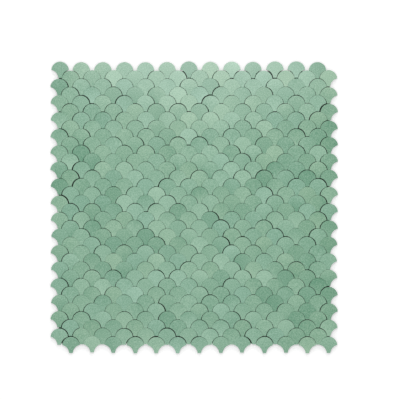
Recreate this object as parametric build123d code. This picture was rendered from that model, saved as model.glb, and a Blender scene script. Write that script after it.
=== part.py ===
from build123d import *
from functools import cache
import math
import os
import random

# A sheet of self-adhesive mosaic: rows of fish-scale chips that nest into each other,
# an adhesive backing that holds them, and the release liner under it.
# Millimetres. The sheet lies flat, centred on the origin, with its face up (+Z)
# and the round ends of the scales towards +Y.

# The pattern
columns = 13
rows = 34
column_pitch = 22.15
row_rise = 8.56
arch_radius = 8.97
joint = 0.34
edge_spread = 0.1

# The layers
scale_thickness = 3.0
backing_thickness = 0.85
liner_thickness = 0.15
backing_setback = 0.85
liner_setback = 0.55

# How evenly the scales are laid
narrowest_joint = 0.05
largest_shift = 0.6
largest_turn = 0.3
push_rounds = 10
first_push = 0.2
least_push = 0.01
lay_seed = 11

# Sizes that follow from the pattern
seat_radius = arch_radius + joint
neck_drop = 2 * row_rise - arch_radius - joint
sheet_height = (rows - 1) * row_rise + arch_radius + neck_drop + 2 * edge_spread
backing_floor = liner_thickness
scale_floor = liner_thickness + backing_thickness


def pattern_place(row, column):
    """Centre of a scale's round end as drawn: odd rows stand half a pitch to the right,
    and the scales on the border stand out a little further."""
    x = (column + 0.5 * (row % 2) - (columns - 0.5) / 2) * column_pitch
    y = sheet_height / 2 - edge_spread - arch_radius - row * row_rise
    at_left = column == 0 and row % 2 == 0
    at_right = column == columns - 1 and row % 2 == 1
    out_x = edge_spread * (at_right - at_left)
    out_y = edge_spread * ((row == 0) - (row == rows - 1))
    return Pos(x + out_x, y + out_y)


def circles_meet(radius, other_centre, other_radius):
    """Where a circle at the origin meets another one, left of the line between the centres."""
    apart = other_centre.length
    along = (radius**2 - other_radius**2 + apart**2) / (2 * apart)
    across = math.sqrt(radius**2 - along**2)
    ahead = other_centre.normalized()
    return ahead * along + Vector(-ahead.Y, ahead.X) * across


def scale_corners(setback):
    """Right-hand centre of the hollow side, side tip and neck corner of a scale's outline."""
    seat = Vector(column_pitch / 2, -row_rise)
    tip = circles_meet(arch_radius - setback, seat, seat_radius + setback)
    neck_end = setback - neck_drop
    neck_half = seat.X - math.sqrt((seat_radius + setback) ** 2 - (neck_end - seat.Y) ** 2)
    return seat, tip, Vector(neck_half, neck_end)


def scale_outline(setback=0):
    """Fish-scale outline: round end, two hollow sides that seat on the scales below, flat neck."""
    seat, tip, neck = scale_corners(setback)
    middle = seat + ((tip - seat) + (neck - seat)).normalized() * (seat_radius + setback)
    side = ThreePointArc(tip, middle, neck)
    half = Curve() + [side, Line(neck, (0, neck.Y))]
    round_end = ThreePointArc((-tip.X, tip.Y), (0, arch_radius - setback), tip)
    return make_face(Curve() + [round_end, *half.edges(), *mirror(half, Plane.YZ).edges()])


def sheet_outline(setback):
    """Outline of the whole sheet without its joints: a core, plus every scale on the border."""
    _, _, neck = scale_corners(0)
    neck_waist = column_pitch / 2 - seat_radius
    left = pattern_place(0, 0).position.X - neck_waist + setback
    right = -left
    top = pattern_place(1, 0).position.Y + arch_radius - setback
    bottom = pattern_place(rows - 2, 0).position.Y + neck.Y + setback
    core = Pos((left + right) / 2, (bottom + top) / 2) * Rectangle(right - left, top - bottom)
    border = {(row, column) for row in (0, rows - 1) for column in range(columns)}
    border |= {(row, column) for row in range(rows) for column in (0, columns - 1)}
    outline = scale_outline(setback)
    return core + [pattern_place(*place) * outline for place in sorted(border)]


def neighbours(row, column):
    """Scales next to one: those above it and those below it, each with the side of the lower
    scale on which the two meet (-1 left, 1 right, 0 at the neck of the upper one)."""
    left = column - 1 + row % 2
    above = [(row - 1, left, -1), (row - 1, left + 1, 1), (row - 2, column, 0)]
    below = [(row + 1, left, 1), (row + 1, left + 1, -1), (row + 2, column, 0)]
    return above, below


@cache
def contact_directions():
    """Directions from the centre of a round end in which another scale reaches over its right side."""
    _, tip, neck = scale_corners(0)
    first = math.atan2(neck.X, arch_radius)
    last = math.atan2(tip.X, tip.Y)
    turns = [first + (last - first) * step / 6 for step in range(7)]
    return [(math.sin(turn), math.cos(turn)) for turn in turns]


def joint_between(upper, lower, side):
    """Narrowest joint between two neighbouring scales."""
    if side == 0:
        return (upper * Pos(0, -neck_drop)).position.Y - lower.position.Y - arch_radius
    off = lower.position - (upper * Pos(-side * column_pitch / 2, -row_rise)).position
    across, along = off.X * side, off.Y
    return joint - max(across * x + along * y for x, y in contact_directions())


def is_clear(scale, row, column, laid):
    """Whether a scale at a trial place keeps the narrowest joint to all its neighbours."""
    above, below = neighbours(row, column)
    gaps = [joint_between(laid[r, c], scale, side) for r, c, side in above if (r, c) in laid]
    gaps += [joint_between(scale, laid[r, c], side) for r, c, side in below if (r, c) in laid]
    return min(gaps) >= narrowest_joint


def push(scale, row, column, heading, laid):
    """Moves a scale along a heading until it all but touches a neighbour or is far off the pattern."""
    drawn = pattern_place(row, column).position
    step = first_push
    while step > least_push:
        trial = Pos(step * math.cos(heading), step * math.sin(heading)) * scale
        is_near = (trial.position - drawn).length < largest_shift
        if is_near and is_clear(trial, row, column, laid):
            scale = trial
        else:
            step /= 2
    return scale


def lay_scales():
    """Places of all the scales: turned a little and pushed together as laid by hand, none touching."""
    chance = random.Random(lay_seed)
    laid = {(row, column): pattern_place(row, column) for row in range(rows) for column in range(columns)}
    for (row, column), scale in list(laid.items()):
        laid[row, column] = scale * Rot(0, 0, chance.uniform(-largest_turn, largest_turn))
    for _ in range(push_rounds):
        for (row, column), scale in list(laid.items()):
            heading = chance.uniform(0, 2 * math.pi)
            laid[row, column] = push(scale, row, column, heading, laid)
    return laid


def scale_chip():
    """One scale, standing on the backing, with the centre of its round end on the origin."""
    return Pos(0, 0, scale_floor) * extrude(scale_outline(), scale_thickness)


def sheet_layer(setback, floor, thickness):
    """A layer under all the scales, held back from their outer edge."""
    return Pos(0, 0, floor) * extrude(sheet_outline(setback), thickness)


def main():
    os.makedirs("parts", exist_ok=True)
    laid = lay_scales()
    chip = scale_chip()
    for row in range(rows):
        chips = [laid[row, column] * chip for column in range(columns)]
        export_step(Compound(children=chips), f"parts/scale_row_{row + 1:02d}.step")
    backing = sheet_layer(backing_setback, backing_floor, backing_thickness)
    export_step(backing, "parts/adhesive_backing.step")
    liner = sheet_layer(liner_setback, 0, liner_thickness)
    export_step(liner, "parts/release_liner.step")


main()
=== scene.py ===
import bmesh
import bpy
import math
import random
from mathutils import Matrix, Vector


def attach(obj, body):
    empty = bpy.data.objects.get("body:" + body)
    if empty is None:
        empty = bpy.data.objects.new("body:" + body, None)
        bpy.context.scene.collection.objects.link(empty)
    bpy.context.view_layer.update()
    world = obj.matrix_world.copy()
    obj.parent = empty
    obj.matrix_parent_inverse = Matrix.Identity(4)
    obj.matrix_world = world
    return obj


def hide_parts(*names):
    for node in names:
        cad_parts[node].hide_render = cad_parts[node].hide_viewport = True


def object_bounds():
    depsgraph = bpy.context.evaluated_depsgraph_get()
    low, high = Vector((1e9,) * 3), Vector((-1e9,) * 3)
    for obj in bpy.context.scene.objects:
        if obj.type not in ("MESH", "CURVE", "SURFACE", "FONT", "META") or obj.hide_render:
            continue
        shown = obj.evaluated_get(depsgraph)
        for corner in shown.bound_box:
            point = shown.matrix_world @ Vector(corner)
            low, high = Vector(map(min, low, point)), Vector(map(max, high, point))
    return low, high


# A sheet of mosaic scales: every row of scales is finished from its CAD node and lacquered, and
# the adhesive backing and the release liner under them get their own looks.

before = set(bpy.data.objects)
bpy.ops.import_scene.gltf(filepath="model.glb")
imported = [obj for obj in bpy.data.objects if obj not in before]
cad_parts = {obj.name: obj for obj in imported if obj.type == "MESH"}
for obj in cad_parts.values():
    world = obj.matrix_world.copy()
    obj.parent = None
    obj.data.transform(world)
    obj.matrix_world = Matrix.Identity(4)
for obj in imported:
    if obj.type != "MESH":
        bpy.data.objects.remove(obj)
cad_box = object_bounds()

# Sizes in metres
corner_cut = 0.00016
lacquer_runs_down = 0.0003
merge_within = 0.000002
mm_per_metre = 1000

# What counts as flat, as a sharp edge and as an upright one
flat_within = math.radians(2)
sharp_above = math.radians(40)
upright_share = 0.9

# Colours, linear
deep_green = (0.068, 0.239, 0.132, 1.0)
pale_warm_green = (0.280, 0.463, 0.309, 1.0)
pale_cool_green = (0.257, 0.463, 0.341, 1.0)
# Cut sides of the scales: their own dark colour, darkened further as painted shade in the joints
# between scales
cut_side_and_joint_shade = (0.026, 0.045, 0.036, 1.0)
adhesive_dark = (0.008, 0.010, 0.009, 1.0)
adhesive_grey = (0.022, 0.024, 0.023, 1.0)
liner_cream = (0.760, 0.735, 0.660, 1.0)
liner_shade = (0.640, 0.610, 0.530, 1.0)
floor_white = (0.80, 0.80, 0.80, 1.0)
pure_white = (1.0, 1.0, 1.0, 1.0)

# How much the scales differ from each other, in painted sheen and in warmth and grain
# Painted sheen: each scale lighter or darker all over and fading across it, for the light its
# slight tilt catches
sheen_limit = 2.4
sheen_step = 0.156
fade_along = 0.60
fade_across = 0.35
even_warmth = 0.5
warmth_spread = 0.24
grain_spread = 500
lay_seed = 29

# Unevenness of the finishes: fineness of the coarse and the fine part, and the share of the fine
# one, counted per millimetre on the lacquer and per metre on the sheets under it
lacquer_grain = (1.20, 3.50, 0.30)
adhesive_grain = (90.0, 1400.0, 0.60)
liner_grain = (60.0, 900.0, 0.35)
grain_stretch = (0.60, 1.0, 1.0)
noise_detail = 3.0
mask_low = 0.25
mask_high = 0.75

# What the unevenness does: shade, where 0 is deep and 1 is pale, roughness, and strength and
# depth of relief
lacquer_shades = (-0.10, 1.10)
lacquer_roughness = (0.22, 0.30)
lacquer_relief = (0.10, 0.00004)
adhesive_roughness = (0.82, 0.96)
adhesive_relief = (0.25, 0.00006)
liner_roughness = (0.34, 0.48)
liner_relief = (0.12, 0.00003)

# Floor and world
floor_reach = 12.0
floor_gap = 0.0002
floor_roughness = 0.9
floor_lift = 0.30
world_strength = 0.55

# Lamps: place, width and depth, and the brightness of their face, where 1 is white
key_place = (0.15, 1.60, 1.25)
key_size = (1.50, 0.60)
key_brightness = 2.6
sheen_place = (0.00, 0.255, 1.00)
sheen_size = (0.36, 0.10)
sheen_brightness = 20.5
overhead_place = (-0.04, -0.25, 0.95)
overhead_size = (0.39, 0.60)
overhead_brightness = 2.1

# Camera: straight above, with the sheet a little left of and below the middle of the frame
frame_width = 0.4119
lens = 200.0
sensor = 36.0
sight = 50.0
aim_x = 0.00604
aim_y = 0.00759


def merged_copy(node):
    """A CAD node's mesh as a bmesh whose triangles are joined into whole faces."""
    bm = bmesh.new()
    bm.from_mesh(node.data)
    bmesh.ops.remove_doubles(bm, verts=bm.verts, dist=merge_within)
    bmesh.ops.dissolve_limit(bm, angle_limit=flat_within, verts=bm.verts, edges=bm.edges)
    return bm


def new_object(name, bm):
    """A linked object with the mesh of a bmesh, which is used up."""
    mesh = bpy.data.meshes.new(name)
    bm.to_mesh(mesh)
    bm.free()
    piece = bpy.data.objects.new(name, mesh)
    bpy.context.scene.collection.objects.link(piece)
    return piece


def is_upright(edge):
    """Whether an edge stands upright, as those between two side faces do."""
    along = edge.verts[1].co - edge.verts[0].co
    return abs(along.z) > upright_share * along.length


def blunt_corners(bm):
    """Takes the points off the side tips and the neck corners of every scale."""
    corners = [e for e in bm.edges if is_upright(e) and e.calc_face_angle(0) > sharp_above]
    bmesh.ops.bevel(bm, geom=corners, offset=corner_cut, affect="EDGES", segments=1,
                    profile=0.5, material=-1, clamp_overlap=True)


def keep_crisp(bm):
    """Shades every scale smooth round its sides and crisp at its rims and corners."""
    for face in bm.faces:
        face.smooth = True
    for edge in bm.edges:
        edge.smooth = edge.calc_face_angle(0) < sharp_above


def separate_scales(bm):
    """The vertices of each scale, as one list per scale, from left to right."""
    left = set(bm.verts)
    scales = []
    while left:
        found = [left.pop()]
        for vert in found:
            for edge in vert.link_edges:
                other = edge.other_vert(vert)
                if other in left:
                    left.remove(other)
                    found.append(other)
        scales.append(found)
    return sorted(scales, key=lambda verts: min(v.co.x for v in verts))


def paint_sheen_on_scale(verts, painted_sheen, warmth, grain, chance):
    """Gives one scale its own painted sheen, lighter or darker all over with a slight fade across
    it, and its own warmth and grain.
    """
    low = Vector((min(v.co.x for v in verts), min(v.co.y for v in verts), 0))
    high = Vector((max(v.co.x for v in verts), max(v.co.y for v in verts), 0))
    middle = (low + high) / 2
    reach = (high.y - low.y) / 2
    # Painted sheen: how much lighter or darker the whole scale is, and how it fades across it
    sheen_level = max(-sheen_limit, min(sheen_limit, chance.gauss(0, 1)))
    fade_x = chance.gauss(0, fade_across)
    fade_y = chance.gauss(0, fade_along)
    warm = max(0.0, min(1.0, chance.gauss(even_warmth, warmth_spread)))
    turn = Matrix.Rotation(-chance.uniform(0, math.pi), 3, "Z")
    start = Vector([chance.uniform(0, grain_spread) for _ in range(3)])
    for vert in verts:
        off = vert.co - middle
        vert[painted_sheen] = sheen_level + (fade_x * off.x + fade_y * off.y) / reach
        vert[warmth] = warm
        vert[grain] = start + turn @ (off * mm_per_metre)


def scale_row(name, node, material, chance):
    """One row of scales with blunted corners, each with its own painted sheen, warmth and grain, in
    place of its CAD node.
    """
    bm = merged_copy(node)
    blunt_corners(bm)
    keep_crisp(bm)
    # Painted sheen of each scale, kept on its vertices
    painted_sheen = bm.verts.layers.float.new("painted_sheen")
    warmth = bm.verts.layers.float.new("warmth")
    grain = bm.verts.layers.float_vector.new("grain")
    for verts in separate_scales(bm):
        paint_sheen_on_scale(verts, painted_sheen, warmth, grain, chance)
    piece = new_object(name, bm)
    piece.data.materials.append(material)
    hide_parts(node.name)
    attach(piece, "root")


def dress(name, material):
    """Gives a CAD node that is shown as it is its material."""
    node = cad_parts[name]
    node.data.materials.clear()
    node.data.materials.append(material)


def new_material(name):
    """A plain material, its node tree and its Principled shader."""
    material = bpy.data.materials.new(name)
    material.use_nodes = True
    tree = material.node_tree
    shader = tree.nodes["Principled BSDF"]
    return material, tree, shader


def add_node(tree, kind, **values):
    """A node with some of its own settings."""
    node = tree.nodes.new(kind)
    for key, value in values.items():
        setattr(node, key, value)
    return node


def mottle_group():
    """Coarse and fine unevenness of a surface, as one mask about 0.5."""
    group = bpy.data.node_groups.new("surface_mottle", "ShaderNodeTree")
    face = group.interface
    face.new_socket("Place", in_out="INPUT", socket_type="NodeSocketVector")
    for label in ("Coarse", "Fine", "Share of fine"):
        face.new_socket(label, in_out="INPUT", socket_type="NodeSocketFloat")
    face.new_socket("Mask", in_out="OUTPUT", socket_type="NodeSocketFloat")
    start = add_node(group, "NodeGroupInput")
    end = add_node(group, "NodeGroupOutput")
    blend = add_node(group, "ShaderNodeMix", data_type="FLOAT")
    for label, side in (("Coarse", "A"), ("Fine", "B")):
        noise = add_node(group, "ShaderNodeTexNoise")
        noise.inputs["Detail"].default_value = noise_detail
        group.links.new(start.outputs["Place"], noise.inputs["Vector"])
        group.links.new(start.outputs[label], noise.inputs["Scale"])
        group.links.new(noise.outputs["Fac"], blend.inputs[side])
    group.links.new(start.outputs["Share of fine"], blend.inputs["Factor"])
    group.links.new(blend.outputs["Result"], end.inputs["Mask"])
    return group


def mottle(tree, group, place, coarse, fine, share):
    """The mottle group in a material, with that material's own values."""
    node = add_node(tree, "ShaderNodeGroup", node_tree=group)
    node.inputs["Coarse"].default_value = coarse
    node.inputs["Fine"].default_value = fine
    node.inputs["Share of fine"].default_value = share
    tree.links.new(place, node.inputs["Place"])
    return node.outputs["Mask"]


def remap(tree, value, low, high):
    """A mask spread to run from low to high."""
    node = add_node(tree, "ShaderNodeMapRange")
    node.inputs["From Min"].default_value = mask_low
    node.inputs["From Max"].default_value = mask_high
    node.inputs["To Min"].default_value = low
    node.inputs["To Max"].default_value = high
    tree.links.new(value, node.inputs["Value"])
    return node.outputs["Result"]


def blend_colours(tree, factor, low, high):
    """A colour between two others, each a fixed colour or the output of a node."""
    node = add_node(tree, "ShaderNodeMix", data_type="RGBA")
    tree.links.new(factor, node.inputs["Factor"])
    for side, colour in (("A", low), ("B", high)):
        if isinstance(colour, tuple):
            node.inputs[side].default_value = colour
        else:
            tree.links.new(colour, node.inputs[side])
    return node.outputs["Result"]


def relief(tree, shader, height, strength, depth):
    """Fine relief on a surface."""
    node = add_node(tree, "ShaderNodeBump")
    node.inputs["Strength"].default_value = strength
    node.inputs["Distance"].default_value = depth
    tree.links.new(height, node.inputs["Height"])
    tree.links.new(node.outputs["Normal"], shader.inputs["Normal"])


def grain_of_scale(tree, group):
    """Fine mottle, a little drawn out along each scale's own grain."""
    grain = add_node(tree, "ShaderNodeAttribute", attribute_name="grain")
    stretch = add_node(tree, "ShaderNodeMapping")
    stretch.inputs["Scale"].default_value = grain_stretch
    tree.links.new(grain.outputs["Vector"], stretch.inputs["Vector"])
    return mottle(tree, group, stretch.outputs["Vector"], *lacquer_grain)


def green_of_scale(tree, mask):
    """Deep to pale green by the scale's painted sheen and its grain, warmer or cooler where pale.
    """
    painted_sheen = add_node(tree, "ShaderNodeAttribute", attribute_name="painted_sheen")
    step = add_node(tree, "ShaderNodeMath", operation="MULTIPLY_ADD")
    step.inputs[1].default_value = sheen_step
    tree.links.new(painted_sheen.outputs["Fac"], step.inputs[0])
    tree.links.new(remap(tree, mask, *lacquer_shades), step.inputs[2])
    warmth = add_node(tree, "ShaderNodeAttribute", attribute_name="warmth")
    pale = blend_colours(tree, warmth.outputs["Fac"], pale_cool_green, pale_warm_green)
    return blend_colours(tree, step.outputs["Value"], deep_green, pale)


def below_lacquer(tree, lacquered):
    """The cut side of a scale, below where the lacquer runs down to, its dark colour partly its own
    and partly painted shade in the joints.
    """
    place = add_node(tree, "ShaderNodeTexCoord")
    split = add_node(tree, "ShaderNodeSeparateXYZ")
    tree.links.new(place.outputs["Object"], split.inputs["Vector"])
    down = add_node(tree, "ShaderNodeMapRange")
    down.inputs["From Min"].default_value = cad_box[1][2] - 2 * lacquer_runs_down
    down.inputs["From Max"].default_value = cad_box[1][2] - lacquer_runs_down
    tree.links.new(split.outputs["Z"], down.inputs["Value"])
    return blend_colours(tree, down.outputs["Result"], cut_side_and_joint_shade, lacquered)


def scale_lacquer(group):
    """Satin green lacquer with a fine mottled grain, and painted sheen that makes each scale a
    little lighter or darker.
    """
    material, tree, shader = new_material("scale_lacquer")
    mask = grain_of_scale(tree, group)
    colour = below_lacquer(tree, green_of_scale(tree, mask))
    tree.links.new(colour, shader.inputs["Base Color"])
    tree.links.new(remap(tree, mask, *lacquer_roughness), shader.inputs["Roughness"])
    relief(tree, shader, mask, *lacquer_relief)
    return material


def clouded_finish(name, group, grain, low, high, roughness, skin):
    """A finish that is uneven all over in colour, gloss and relief."""
    material, tree, shader = new_material(name)
    place = add_node(tree, "ShaderNodeTexCoord")
    mask = mottle(tree, group, place.outputs["Object"], *grain)
    tree.links.new(blend_colours(tree, mask, low, high), shader.inputs["Base Color"])
    tree.links.new(remap(tree, mask, *roughness), shader.inputs["Roughness"])
    relief(tree, shader, mask, *skin)
    return material


def adhesive_film(group):
    """Black adhesive on its carrier: dull, with a fine pebbled skin."""
    return clouded_finish("adhesive_film", group, adhesive_grain, adhesive_dark, adhesive_grey,
                          adhesive_roughness, adhesive_relief)


def liner_paper(group):
    """Silicone-coated release paper: cream, slightly cloudy and faintly glossy."""
    return clouded_finish("liner_paper", group, liner_grain, liner_shade, liner_cream,
                          liner_roughness, liner_relief)


def seen_directly(tree):
    """1 for rays from the camera, also after a reflection or through glass, and 0 for others."""
    path = add_node(tree, "ShaderNodeLightPath")
    seen = path.outputs["Is Camera Ray"]
    for label in ("Is Glossy Ray", "Is Transmission Ray"):
        either = add_node(tree, "ShaderNodeMath", operation="MAXIMUM")
        tree.links.new(seen, either.inputs[0])
        tree.links.new(path.outputs[label], either.inputs[1])
        seen = either.outputs["Value"]
    return seen


def floor_paint():
    """White paint that looks white wherever no shadow falls on it."""
    material, tree, shader = new_material("floor_paint")
    shader.inputs["Base Color"].default_value = floor_white
    shader.inputs["Roughness"].default_value = floor_roughness
    shader.inputs["Emission Color"].default_value = pure_white
    lift = add_node(tree, "ShaderNodeMath", operation="MULTIPLY")
    lift.inputs[1].default_value = floor_lift
    tree.links.new(seen_directly(tree), lift.inputs[0])
    tree.links.new(lift.outputs["Value"], shader.inputs["Emission Strength"])
    return material


def studio_floor():
    """A plain pale floor, just clear of the underside of the sheet."""
    bm = bmesh.new()
    below = Matrix.Translation((0, 0, -floor_gap))
    bmesh.ops.create_grid(bm, x_segments=1, y_segments=1, size=floor_reach, matrix=below)
    floor = new_object("studio_floor", bm)
    floor.data.materials.append(floor_paint())


def soft_world():
    """Even white light from all round, which looks white behind the floor too."""
    world = bpy.data.worlds.new("studio")
    world.use_nodes = True
    tree = world.node_tree
    background = tree.nodes["Background"]
    background.inputs["Color"].default_value = pure_white
    level = add_node(tree, "ShaderNodeMapRange")
    level.inputs["To Min"].default_value = world_strength
    level.inputs["To Max"].default_value = 1.0
    tree.links.new(seen_directly(tree), level.inputs["Value"])
    tree.links.new(level.outputs["Result"], background.inputs["Strength"])
    bpy.context.scene.world = world


def soft_lamp(name, place, aim, size, brightness):
    """A rectangular soft lamp that shines from its place towards a point."""
    width, depth = size
    data = bpy.data.lights.new(name, "AREA")
    data.shape = "RECTANGLE"
    data.size = width
    data.size_y = depth
    data.energy = brightness * math.pi * width * depth
    lamp = bpy.data.objects.new(name, data)
    lamp.location = place
    lamp.rotation_euler = (Vector(aim) - Vector(place)).to_track_quat("-Z", "Y").to_euler()
    lamp.visible_camera = False
    bpy.context.scene.collection.objects.link(lamp)


def lamp_overhead(name, place, size, brightness):
    """A soft lamp that shines straight down."""
    x, y, _ = place
    soft_lamp(name, place, (x, y, 0), size, brightness)


def camera_above(top):
    """A camera that looks straight down on the sheet."""
    data = bpy.data.cameras.new("camera")
    data.lens = lens
    data.sensor_width = sensor
    data.clip_end = sight
    camera = bpy.data.objects.new("camera", data)
    camera.location = (aim_x, aim_y, top + frame_width * lens / sensor)
    bpy.context.scene.collection.objects.link(camera)
    bpy.context.scene.camera = camera


def main():
    chance = random.Random(lay_seed)
    group = mottle_group()
    lacquer = scale_lacquer(group)
    for name, node in sorted(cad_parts.items()):
        if name.startswith("scale_row_"):
            scale_row(name.replace("row", "row_finish"), node, lacquer, chance)
    dress("adhesive_backing", adhesive_film(group))
    dress("release_liner", liner_paper(group))
    studio_floor()
    soft_world()
    soft_lamp("key_lamp", key_place, (0, 0, 0), key_size, key_brightness)
    lamp_overhead("sheen_lamp", sheen_place, sheen_size, sheen_brightness)
    lamp_overhead("overhead_lamp", overhead_place, overhead_size, overhead_brightness)
    camera_above(cad_box[1][2])
    bpy.context.scene.view_settings.view_transform = "Standard"


main()
